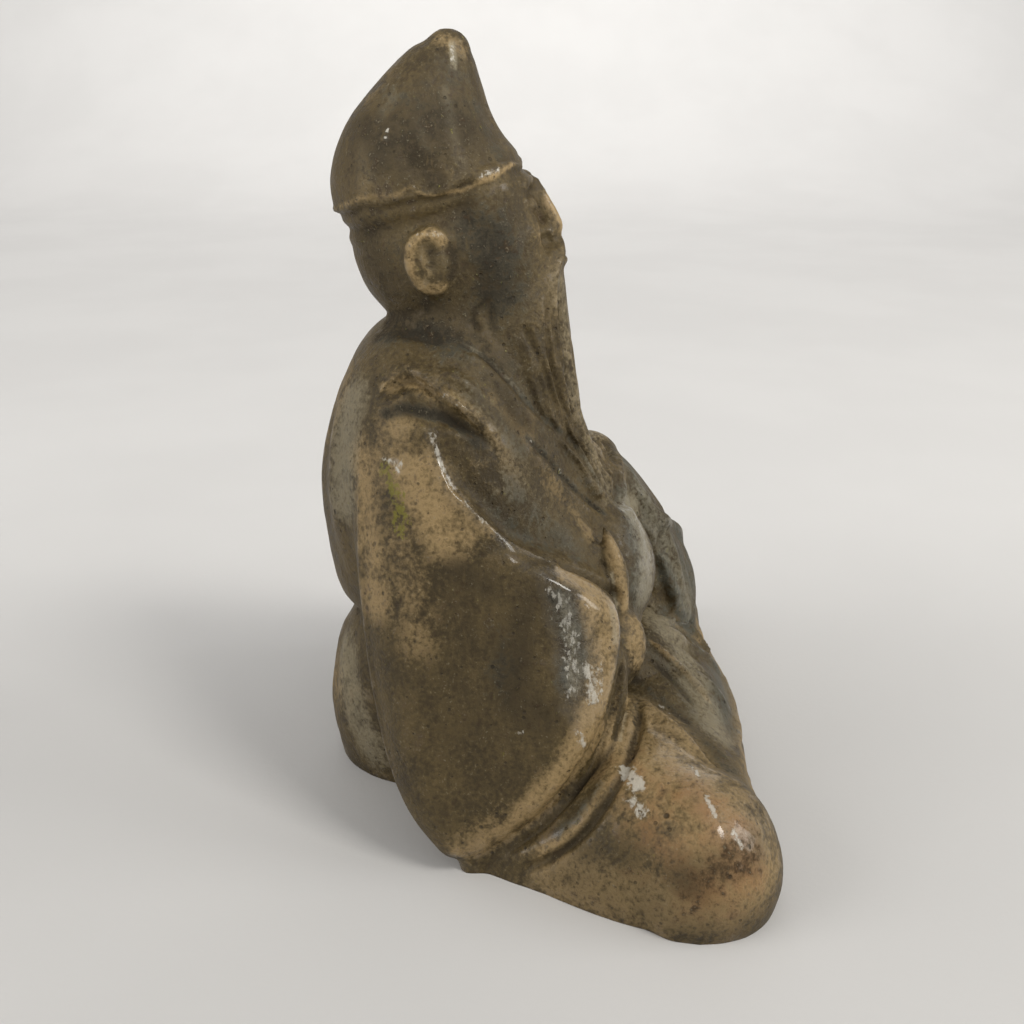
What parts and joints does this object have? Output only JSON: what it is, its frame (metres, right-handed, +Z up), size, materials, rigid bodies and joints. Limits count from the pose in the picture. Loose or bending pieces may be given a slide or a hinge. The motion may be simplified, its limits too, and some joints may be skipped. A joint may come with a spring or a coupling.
{
  "type": "seated figurine",
  "caption": "Cross-legged bearded elder in a peaked cap and wide-sleeved robe, one hand on a round belly, made as a single ceramic piece that stands on its flat underside.",
  "frame": {"origin": "centre of the flat underside's bounding rectangle, on the surface the figure stands on", "axes": "+Z up to the tip of the cap, the figure faces -Y, its right side is at -X"},
  "size_m": [0.1126, 0.0786, 0.1299],
  "materials": {
    "glazed_clay": "mottled grey-brown clay under a thin worn glaze, tan where the ridges are rubbed, blue-grey in the hollows"
  },
  "bodies": {
    "root": {"figurine": "glazed_clay"}
  },
  "joints": []
}
